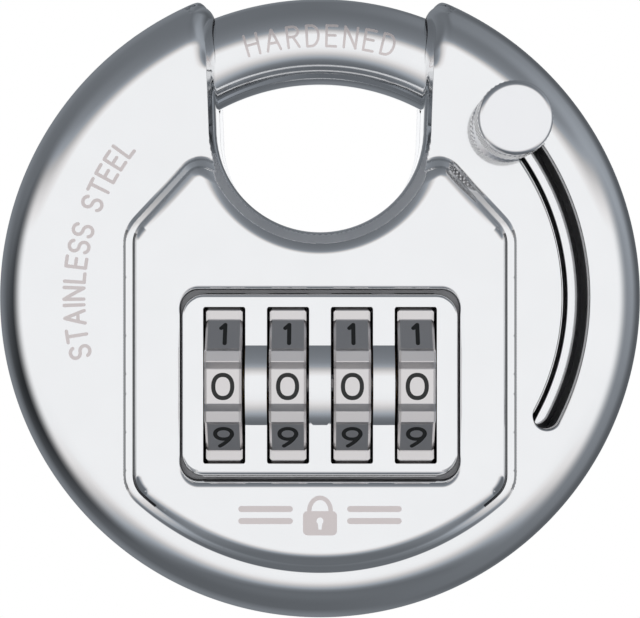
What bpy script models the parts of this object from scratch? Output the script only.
"""Disc padlock with a sliding ring shackle and a four-wheel number dial.

Every piece is modelled in a flat frame, in millimetres: x to the right, y up towards the
shackle, z out of the front face, with the disc's centre at the origin. The empty
"padlock_frame" stands the lock upright and puts the origin on the flat rear face.
"""

import math

import bmesh
import bpy

MM = 0.001

# Body
DISC_R = 34.7
FACE_Z = 9.5
PLATEAU_Z = 10.7
SHEET = 1.3
RIM_A = 5.2
SEAM = 0.15

# Notch for the hasp
NOTCH_Y = 17.7
NOTCH_R = 10.9
NOTCH_TOP = 11.35
TIP_R = 2.1

# Shackle ring
RING_R = 27.9
ROD_R = 4.65
RING_FROM, RING_TO = -38.0, 131.0
TRAVEL_DEG = 70.0

# Thumb knob and its slot
KNOB_R, KNOB_NECK_R = 3.83, 3.1
KNOB_DEG, KNOB_AT = 42.4, 26.5
KNOB_Z0, KNOB_Z1 = 9.8, 15.9
SLOT_R, SLOT_HALF = 26.65, 1.3
STUD_R, STUD_HOLE = 1.0, 1.3

# Number dial: the wheels turn about x through (DIAL_Y, DIAL_Z)
DIAL_Y, DIAL_Z = -9.1, 4.3
PITCH = 6.57
WHEEL_CENTRES = [PITCH * (i - 1.5) for i in range(4)]
WHEEL_W = 3.76
DIGITS = 10
FACET_AT, FACET_HALF = 9.0, 1.8
RIDGE_R, RIDGE_HALF = 10.0, 0.58
WINDOW_W, WINDOW_R = 4.35, 10.3
BARREL_R = 7.6
SLEEVE_AT, WHEEL_BORE_AT = 4.9, 5.2
SLEEVE_BORE, SPINDLE_R, SPINDLE_HOLE = 3.9, 1.75, 2.05
WEB = 0.7
FIN_R, FIN_HALF, GATE_HALF = 3.5, 0.6, 0.9
SPACER_R = 5.0

# Latch
LATCH_TRAVEL = 2.0
NOSE_X, NOSE_HALF = 22.6, 1.2
GROOVE_DEG = -23.0

# Dial plate
PLATE_W, PLATE_H, PLATE_Y, PLATE_R = 28.4, 18.3, -8.9, 2.1
OPEN_W, OPEN_H, OPEN_Y = 30.0, 22.2, -8.6
FLANGE_W, FLANGE_H, FLANGE_Y = 36.8, 24.0, -9.1
CORE_R, CORE_Z = 22.2, 6.8
SCREWS = [(16.7, 0.2), (16.7, -12.6), (-16.7, 0.2), (-16.7, -12.6)]


# Scene and materials ------------------------------------------------------------------
for old in list(bpy.data.objects):
    bpy.data.objects.remove(old, do_unlink=True)

scene = bpy.context.scene
parts = scene.collection
cutters = bpy.data.collections.new("cutters")
scene.collection.children.link(cutters)

frame = bpy.data.objects.new("padlock_frame", None)
frame.rotation_euler = (math.radians(90), 0, 0)
frame.location = (0, -PLATEAU_Z * MM, 0)
parts.objects.link(frame)


def steel(name, colour, roughness, metallic=1.0):
    material = bpy.data.materials.new(name)
    material.use_nodes = True
    shader = material.node_tree.nodes["Principled BSDF"]
    shader.inputs["Base Color"].default_value = (*colour, 1.0)
    shader.inputs["Roughness"].default_value = roughness
    shader.inputs["Metallic"].default_value = metallic
    return material


POLISHED = steel("polished_stainless", (0.82, 0.82, 0.83), 0.12)
SHACKLE_STEEL = steel("hardened_shackle", (0.80, 0.80, 0.82), 0.10)
KNOB_STEEL = steel("knob_chrome", (0.84, 0.84, 0.85), 0.10)
WHEEL_STEEL = steel("wheel_nickel", (0.62, 0.60, 0.59), 0.32)
CAST = steel("cast_zinc", (0.42, 0.42, 0.43), 0.5)
BRASS = steel("brass", (0.72, 0.52, 0.22), 0.35)
SPRING = steel("spring_steel", (0.5, 0.5, 0.52), 0.3)
SCREW = steel("zinc_screw", (0.66, 0.66, 0.68), 0.3)
NYLON = steel("nylon_liner", (0.05, 0.05, 0.05), 0.6, 0.0)


# Mesh builders ------------------------------------------------------------------------
def solid(name, verts, faces, material=None, smooth=True):
    """A closed mesh object from millimetre points; with no material it is a cutter."""
    mesh = bpy.data.meshes.new(name)
    bm = bmesh.new()
    points = [bm.verts.new([c * MM for c in v]) for v in verts]
    for face in faces:
        bm.faces.new([points[i] for i in face])
    bmesh.ops.recalc_face_normals(bm, faces=bm.faces)
    bm.to_mesh(mesh)
    bm.free()
    obj = bpy.data.objects.new(name, mesh)
    obj.parent = frame
    if material is None:
        cutters.objects.link(obj)
        obj.hide_render = True
        obj.display_type = "WIRE"
    else:
        parts.objects.link(obj)
        mesh.materials.append(material)
        if smooth:
            mesh.shade_smooth()
            mesh.set_sharp_from_angle(angle=math.radians(32))
    return obj


def loft(name, loops, material=None, axis="z", close=False):
    """Skins a row of equal loops [(u, v), ...], height] and caps its ends."""
    verts, faces = [], []
    for outline, height in loops:
        for u, v in outline:
            verts.append((u, v, height) if axis == "z" else (height, u, v))
    n = len(loops[0][0])
    rows = len(loops)
    for row in range(rows - (0 if close else 1)):
        a, b = row * n, ((row + 1) % rows) * n
        faces += [(a + i, a + (i + 1) % n, b + (i + 1) % n, b + i) for i in range(n)]
    if not close:
        faces += [tuple(range(n)), tuple(range((rows - 1) * n, rows * n))]
    return solid(name, verts, faces, material)


def prism(name, outline, low, high, material=None, axis="z"):
    return loft(name, [(outline, low), (outline, high)], material, axis)


def tube(name, outer, inner, low, high, material=None, axis="z"):
    """A ring of constant section between two outlines with the same count."""
    loops = [(outer, low), (outer, high), (inner, high), (inner, low)]
    return loft(name, loops, material, axis, close=True)


def lathe(name, profile, steps, material=None, at=(0.0, 0.0)):
    """Turns (radius, z) points about z; points on the axis close the ends."""
    verts, faces, rings = [], [], []
    for radius, z in profile:
        if radius == 0:
            rings.append([len(verts)] * steps)
            verts.append((at[0], at[1], z))
            continue
        rings.append(list(range(len(verts), len(verts) + steps)))
        verts += [(at[0] + u, at[1] + v, z) for u, v in circle(radius, steps)]
    for a, b in zip(rings, rings[1:]):
        for i in range(steps):
            j = (i + 1) % steps
            face = list(dict.fromkeys([a[i], a[j], b[j], b[i]]))
            if len(face) > 2:
                faces.append(face)
    return solid(name, verts, faces, material)


def box(name, low, high, material=None):
    (x0, y0, z0), (x1, y1, z1) = low, high
    return prism(name, [(x0, y0), (x1, y0), (x1, y1), (x0, y1)], z0, z1, material)


def circle(radius, steps, u=0.0, v=0.0, start=0.0):
    turn = math.tau / steps
    return [
        (u + radius * math.cos(start + turn * i), v + radius * math.sin(start + turn * i))
        for i in range(steps)
    ]


def arc(u, v, radius, first, last, steps):
    """Points on an arc between two angles in degrees, ends included."""
    angles = [math.radians(first + (last - first) * i / steps) for i in range(steps + 1)]
    return [(u + radius * math.cos(a), v + radius * math.sin(a)) for a in angles]


def rounded(width, height, y, radius, steps=4):
    """Outline of a rounded rectangle centred on (0, y)."""
    w, h = width / 2 - radius, height / 2 - radius
    outline = []
    for k, (sx, sy) in enumerate([(1, -1), (1, 1), (-1, 1), (-1, -1)]):
        outline += arc(sx * w, y + sy * h, radius, 90 * k - 90, 90 * k, steps)
    return outline


def boolean(target, tool, operation="DIFFERENCE"):
    modifier = target.modifiers.new(f"{operation.lower()} {tool.name}", "BOOLEAN")
    modifier.operation = operation
    modifier.solver = "EXACT"
    modifier.object = tool


# Shapes that several pieces share -----------------------------------------------------
def notch(offset, tips=False):
    """Outline of the hasp notch, grown by offset, open above the disc."""
    r = NOTCH_R + offset
    bottom = arc(0, NOTCH_Y, r, 180, 360, 28)
    if not tips:
        return bottom + [(NOTCH_TOP + offset, 40), (-NOTCH_TOP - offset, 40)]
    cx = NOTCH_TOP + TIP_R
    cy = math.sqrt((DISC_R - TIP_R) ** 2 - cx**2)
    out = math.degrees(math.atan2(cy, cx))
    right = arc(cx, cy, TIP_R, 180, out, 7)
    lift = [(right[-1][0] * 1.2, right[-1][1] * 1.2)]
    left = [(-x, y) for x, y in reversed(right + lift)]
    return bottom + right + lift + left


def shield(half, arc_r, corner, side_y, diagonal):
    """Outline of the raised shield: bottom arc, sides, and diagonals to the notch."""
    cx = half - corner
    cy = -math.sqrt((arc_r - corner) ** 2 - cx**2)
    swing = math.degrees(math.atan2(-cy, cx))
    bottom = arc(0, 0, arc_r, -90, -swing, 8)
    right = bottom[1:] + arc(cx, cy, corner, -swing, 0, 5)[1:]
    right += [(half, side_y), (half - 0.25, side_y + 1.4), *diagonal]
    left = [(-x, y) for x, y in reversed(right)]
    return [bottom[0], *right, *left]


SHIELD_FOOT = shield(20.5, 28.6, 4.0, 5.6, [(19.45, 8.57), (14.3, 14.3), (9.0, 17.5)])
SHIELD_TOP = shield(18.8, 26.5, 3.0, 3.6, [(18.1, 6.7), (12.8, 12.2), (8.2, 15.4)])
SHIELD_POCKET = shield(18.9, 26.9, 3.2, 4.0, [(18.2, 7.2), (15.9, 9.6), (8.0, 11.0)])


def dial_point(radius, degrees):
    """A point around the wheel axis, as (y, z); 90 degrees is towards the front."""
    a = math.radians(degrees)
    return (DIAL_Y + radius * math.cos(a), DIAL_Z + radius * math.sin(a))


def polygon_radius(apothem, degrees):
    """Distance to a ten-sided outline whose flats face the digits."""
    off = (degrees - 90 + 18) % 36 - 18
    return apothem / math.cos(math.radians(off))


def ring_section(radius, degrees, sides, flat=False):
    """The rod's round section at an angle round the ring, as (x, y, z) points."""
    a = math.radians(degrees)
    points = []
    for u, v in circle(radius, sides, start=math.pi / sides):
        points.append(((RING_R + u) * math.cos(a), (RING_R + u) * math.sin(a), v))
    return points


def ring_rod(name, sections, sides, material=None):
    """Skins rod sections given as (radius, angle round the ring)."""
    verts = [p for radius, angle in sections for p in ring_section(radius, angle, sides)]
    faces = []
    for row in range(len(sections) - 1):
        a, b = row * sides, (row + 1) * sides
        faces += [
            (a + i, a + (i + 1) % sides, b + (i + 1) % sides, b + i) for i in range(sides)
        ]
    last = (len(sections) - 1) * sides
    faces += [tuple(range(sides)), tuple(range(last, last + sides))]
    return solid(name, verts, faces, material)


# Shells -------------------------------------------------------------------------------
def shell(name, turn):
    """One pressed half of the body; turn (radians about y) puts it at the front or rear."""

    def place(obj):
        obj.rotation_euler = (0, turn, 0)
        return obj

    rim = rim_profile(RIM_A, FACE_Z, SEAM)
    inside = rim_profile(RIM_A - SHEET, FACE_Z - SHEET, 0)
    body = place(lathe(name, [(0, SEAM), *rim, (0, FACE_Z)], 80, POLISHED))
    plateau = loft(
        f"{name}_plateau",
        [(SHIELD_FOOT, FACE_Z - 1.0), (SHIELD_FOOT, FACE_Z), (SHIELD_TOP, PLATEAU_Z)],
    )
    boolean(body, place(plateau), "UNION")
    boolean(body, place(prism(f"{name}_notch", notch(0, tips=True), -3, 14)))

    hollow = lathe(
        f"{name}_hollow",
        [(0, -2), (DISC_R - SHEET, -2), *inside, (0, FACE_Z - SHEET)],
        64,
    )
    pocket = prism(f"{name}_pocket", SHIELD_POCKET, 6.0, PLATEAU_Z - SHEET)
    boolean(hollow, place(pocket), "UNION")
    boolean(hollow, place(prism(f"{name}_notch_wall", notch(SHEET), -4, 13)))
    boolean(body, place(hollow))
    bore = ring_rod(f"{name}_rod_bore", [(ROD_R + 0.35, 50 + 5 * i) for i in range(17)], 24)
    boolean(body, bore)
    return body


def rim_profile(a, b, low):
    """The rim's half-oval edge as (radius, z) points, from height low up to the face."""
    steps = 9
    first = math.asin(low / b)
    angles = [first + (math.pi / 2 - first) * i / steps for i in range(steps + 1)]
    return [(DISC_R - RIM_A + a * math.cos(t), b * math.sin(t)) for t in angles]


front_shell = shell("front_shell", 0.0)
rear_shell = shell("rear_shell", math.pi)

opening = prism("dial_opening", rounded(OPEN_W, OPEN_H, OPEN_Y, 3.0), 5, 13)
boolean(front_shell, opening)

slot_end = KNOB_DEG - TRAVEL_DEG
slot_outline = arc(0, 0, SLOT_R + SLOT_HALF, slot_end, KNOB_DEG, 24)
kx, ky = arc(0, 0, SLOT_R, KNOB_DEG, KNOB_DEG, 1)[0]
slot_outline += arc(kx, ky, SLOT_HALF, KNOB_DEG, KNOB_DEG + 180, 8)[1:-1]
slot_outline += arc(0, 0, SLOT_R - SLOT_HALF, KNOB_DEG, slot_end, 24)
ex, ey = arc(0, 0, SLOT_R, slot_end, slot_end, 1)[0]
slot_outline += arc(ex, ey, SLOT_HALF, slot_end + 180, slot_end + 360, 8)[1:-1]
boolean(front_shell, prism("knob_slot", slot_outline, 5, 13))

# Core, which fills the disc inside the ring --------------------------------------------
core_outline = arc(0, 0, CORE_R, -46, 226, 64)
core_body = prism("core_body", core_outline, -7.6, CORE_Z, CAST)
boolean(core_body, prism("core_notch", notch(SHEET + 0.35), -9, 9))
boolean(core_body, box("core_bay", (-14.6, -30, -9), (14.6, 1.5, 9)))
boolean(core_body, box("latch_arm_bay", (14, DIAL_Y - 2.1, -1.6), (19, DIAL_Y + 2.1, 9)))
boolean(core_body, box("nose_bay", (18, DIAL_Y - 1.6, -1.6), (24, DIAL_Y + 1.6, 1.6)))
spring_hole = [(DIAL_Y + u, DIAL_Z + v) for u, v in circle(SPINDLE_HOLE, 20)]
boolean(core_body, prism("spring_hole", spring_hole, -19.3, -14, axis="x"))
for i, (x, y) in enumerate(SCREWS, 1):
    boolean(core_body, prism(f"core_hole_{i}", circle(1.0, 12, x, y), 2.8, 9))

# Dial plate ---------------------------------------------------------------------------
dial_plate = prism("dial_plate", rounded(PLATE_W, PLATE_H, PLATE_Y, PLATE_R, 6), 9.1,
                   PLATEAU_Z, POLISHED)
step = prism("plate_step", rounded(OPEN_W - 0.7, OPEN_H - 0.7, OPEN_Y, 2.7), 7.8, 9.5)
boolean(dial_plate, step, "UNION")
flange = prism("plate_flange", rounded(FLANGE_W, FLANGE_H, FLANGE_Y, 3.0), 7.1, 8.1)
boolean(dial_plate, flange, "UNION")
half_barrel = math.degrees(math.acos((9.8 - DIAL_Z) / BARREL_R))
barrel = [dial_point(BARREL_R, 90 + half_barrel * (i / 8 - 1)) for i in range(17)]
boolean(dial_plate, prism("plate_barrels", barrel, -8.6, 8.6, axis="x"), "UNION")
for i, x in enumerate(WHEEL_CENTRES, 1):
    window = circle(WINDOW_R, 56, DIAL_Y, DIAL_Z)
    half = WINDOW_W / 2
    boolean(dial_plate, prism(f"window_{i}", window, x - half, x + half, axis="x"))
hub_room = circle(SPACER_R + 0.35, 28, DIAL_Y, DIAL_Z)
boolean(dial_plate, prism("hub_room", hub_room, -12.6, 12.6, axis="x"))
for i, (x, y) in enumerate(SCREWS, 1):
    boolean(dial_plate, prism(f"flange_hole_{i}", circle(1.0, 12, x, y), 6, 9))

# Dial frame, the bracket behind the wheels ---------------------------------------------
dial_frame = box("dial_frame", (-14.2, -17.6, -7.5), (14.2, 1.1, -6.6), CAST)
for i, side in enumerate((-1, 1), 1):
    low, high = sorted((side * 13.2, side * 14.19))
    cheek = [(-16.8, -7.2), (0.9, -7.2), (0.9, 6.7), (-16.8, 6.7)]
    boolean(dial_frame, prism(f"frame_cheek_{i}", cheek, low, high, axis="x"), "UNION")
hole = circle(SPINDLE_HOLE, 20, DIAL_Y, DIAL_Z)
boolean(dial_frame, prism("frame_bore", hole, -16, 16, axis="x"))
boolean(dial_frame, box("frame_key", (12, DIAL_Y - GATE_HALF, 0.3),
                        (16, DIAL_Y + GATE_HALF, DIAL_Z)))

# Wheels and code sleeves ----------------------------------------------------------------
facet_half = math.degrees(math.atan2(FACET_HALF, FACET_AT))
facet_r = math.hypot(FACET_AT, FACET_HALF)
ridge_half = math.degrees(math.asin(RIDGE_HALF / RIDGE_R))
wheel_angles = []
for digit in range(DIGITS):
    a = 90 + 36 * digit
    wheel_angles += [
        (a - facet_half, facet_r),
        (a + facet_half, facet_r),
        (a + 18 - ridge_half, RIDGE_R),
        (a + 18 + ridge_half, RIDGE_R),
    ]
wheel_outer = [dial_point(r, a) for a, r in wheel_angles]
wheel_inner = [dial_point(polygon_radius(WHEEL_BORE_AT, a), a) for a, r in wheel_angles]
sleeve_outer = [dial_point(polygon_radius(SLEEVE_AT, 9 * k), 9 * k) for k in range(40)]
sleeve_inner = [dial_point(SLEEVE_BORE, 9 * k) for k in range(40)]

# A ring round the spindle with a keyway towards the rear that a fin can pass through
key_in = math.degrees(math.asin(GATE_HALF / SPINDLE_HOLE))
key_out = math.degrees(math.asin(GATE_HALF / SLEEVE_BORE))
key_line = [(SPINDLE_HOLE, -90 + key_in + (360 - 2 * key_in) * k / 36) for k in range(37)]
key_line += [(SLEEVE_BORE, -90 - key_out), (SLEEVE_BORE, -90 + key_out)]
keyway = [dial_point(r, a) for r, a in key_line]


def keyed_ring(name, radius, low, high, material=None):
    outer = [dial_point(radius, a) for r, a in key_line]
    return tube(name, outer, keyway, low, high, material, "x")


half = WHEEL_W / 2
for i, x in enumerate(WHEEL_CENTRES, 1):
    tube(f"dial_wheel_{i}", wheel_outer, wheel_inner, x - half, x + half, WHEEL_STEEL, "x")
    sleeve = tube(
        f"code_sleeve_{i}", sleeve_outer, sleeve_inner, x - half, x + half, BRASS, "x"
    )
    web = keyed_ring(f"sleeve_web_{i}", SLEEVE_BORE + 0.3, x - WEB / 2, x + WEB / 2)
    boolean(sleeve, web, "UNION")

    # A leaf spring behind each wheel rises into the hollow between two ridges.
    under = [(-15.6, -6.25), (-10.9, -6.2), (-10.0, -5.3), (-8.2, -5.3), (-7.3, -6.2),
             (-2.6, -6.25)]
    leaf = under + [(y, z + 0.25) for y, z in reversed(under)]
    prism(f"click_spring_{i}", leaf, x - 1.2, x + 1.2, SPRING, axis="x")

spacer_half = (PITCH - WHEEL_W) / 2 - 0.3
for i in range(3):
    x = PITCH * (i - 1)
    keyed_ring(f"dial_spacer_{i + 1}", SPACER_R, x - spacer_half, x + spacer_half, BRASS)

# Latch ----------------------------------------------------------------------------------
shaft = circle(SPINDLE_R, 24, DIAL_Y, DIAL_Z)
latch_spindle = prism("latch_spindle", shaft, -15.2, 17.4, SPRING, axis="x")
for i, x in enumerate(WHEEL_CENTRES, 1):
    low = (x + WEB / 2 + 0.3, DIAL_Y - FIN_HALF, DIAL_Z - FIN_R)
    high = (x + WEB * 1.5 + 0.3, DIAL_Y + FIN_HALF, DIAL_Z)
    boolean(latch_spindle, box(f"fin_{i}", low, high), "UNION")
arm = box("latch_arm", (16.8, DIAL_Y - NOSE_HALF, -1.19), (18.4, DIAL_Y + NOSE_HALF, 6.0))
boolean(latch_spindle, arm, "UNION")
nose = box(
    "latch_nose", (17.6, DIAL_Y - 1.1, -1.1), (NOSE_X, DIAL_Y + 1.1, 1.1)
)
boolean(latch_spindle, nose, "UNION")

# Latch return spring, a coil in the core's left arm -------------------------------------
coil_r, wire_r, turns, per_turn, sides = 1.25, 0.22, 3.5, 14, 6
verts, faces = [], []
rows = int(turns * per_turn) + 1
for k in range(rows):
    a = math.tau * k / per_turn
    x = -18.85 + 3.1 * k / (rows - 1)
    for j in range(sides):
        b = math.tau * j / sides
        r = coil_r + wire_r * math.cos(b)
        verts.append(
            (x + wire_r * math.sin(b), DIAL_Y + r * math.cos(a), DIAL_Z + r * math.sin(a))
        )
for k in range(rows - 1):
    a, b = k * sides, (k + 1) * sides
    faces += [(a + j, a + (j + 1) % sides, b + (j + 1) % sides, b + j) for j in range(sides)]
faces += [tuple(range(sides)), tuple(range((rows - 1) * sides, rows * sides))]
solid("latch_spring", verts, faces, SPRING)

# Screws that hold the dial plate to the core --------------------------------------------
for i, (x, y) in enumerate(SCREWS, 1):
    profile = [(0, 3.2), (0.7, 3.2), (0.7, 8.3), (1.35, 8.3), (1.35, 8.7), (1.1, 8.9),
               (0, 8.9)]
    lathe(f"plate_screw_{i}", profile, 16, SCREW, (x, y))

# Shackle, knob, stud and carrier ---------------------------------------------------------
chamfer = 0.7
chamfer_deg = math.degrees(chamfer / RING_R)
sections = [(ROD_R - chamfer, RING_FROM), (ROD_R, RING_FROM + chamfer_deg)]
span = RING_TO - RING_FROM - 2 * chamfer_deg
sections += [(ROD_R, RING_FROM + chamfer_deg + span * i / 34) for i in range(1, 35)]
sections += [(ROD_R - chamfer, RING_TO)]
shackle = ring_rod("shackle", sections, 24, SHACKLE_STEEL)

# The groove gets shallower along the rod, so turning the shackle pushes the latch back.
verts, faces = [], []
steps = 20
for k in range(steps + 1):
    degrees = GROOVE_DEG - 5 + (TRAVEL_DEG + 10) * k / steps
    depth = LATCH_TRAVEL * (1 - min(max(degrees - GROOVE_DEG, 0) / TRAVEL_DEG, 1))
    outer = RING_R - ROD_R + depth + 0.1
    a = math.radians(degrees)
    for radius, z in [(21.0, -1.6), (outer, -1.6), (outer, 1.6), (21.0, 1.6)]:
        verts.append((radius * math.cos(a), radius * math.sin(a), z))
for k in range(steps):
    a, b = 4 * k, 4 * k + 4
    faces += [(a + j, a + (j + 1) % 4, b + (j + 1) % 4, b + j) for j in range(4)]
faces += [(0, 1, 2, 3), tuple(range(4 * steps, 4 * steps + 4))]
boolean(shackle, solid("latch_groove", verts, faces))

sx, sy = arc(0, 0, KNOB_AT, KNOB_DEG, KNOB_DEG, 1)[0]
boolean(shackle, prism("shackle_stud_hole", circle(STUD_HOLE, 16, sx, sy), 2.2, 6))

knob_profile = [(0, KNOB_Z0), (KNOB_NECK_R, KNOB_Z0), (KNOB_NECK_R, 10.9), (KNOB_R, 11.2),
                (KNOB_R, 15.55), (KNOB_R - 0.1, 15.8), (KNOB_R - 0.35, KNOB_Z1),
                (0, KNOB_Z1)]
knob = lathe("knob", knob_profile, 40, KNOB_STEEL, (sx, sy))
boolean(knob, prism("knob_bore", circle(STUD_HOLE, 16, sx, sy), 8, 15.0))
prism("knob_stud", circle(STUD_R, 16, sx, sy), 2.7, 14.6, SPRING)

strip = arc(0, 0, 27.7, -31, 45.5, 26) + arc(0, 0, 24.3, 45.5, -31, 26)
knob_carrier = prism("knob_carrier", strip, 5.1, 6.6, POLISHED)
boolean(knob_carrier, prism("carrier_hole", circle(STUD_HOLE, 16, sx, sy), 4, 8))

# Nylon liners that guide the rod inside the two cheeks -----------------------------------
for name, first, last in (("guide_liner_right", 48.0, 54.3), ("guide_liner_left", 125.7, 132.0)):
    verts, faces, sides = [], [], 24
    rows = [(4.95, first), (5.2, first), (5.2, last), (4.95, last)]
    for radius, angle in rows:
        verts += ring_section(radius, angle, sides)
    for row in range(4):
        a, b = row * sides, (row + 1) % 4 * sides
        faces += [
            (a + i, a + (i + 1) % sides, b + (i + 1) % sides, b + i) for i in range(sides)
        ]
    solid(name, verts, faces, NYLON)
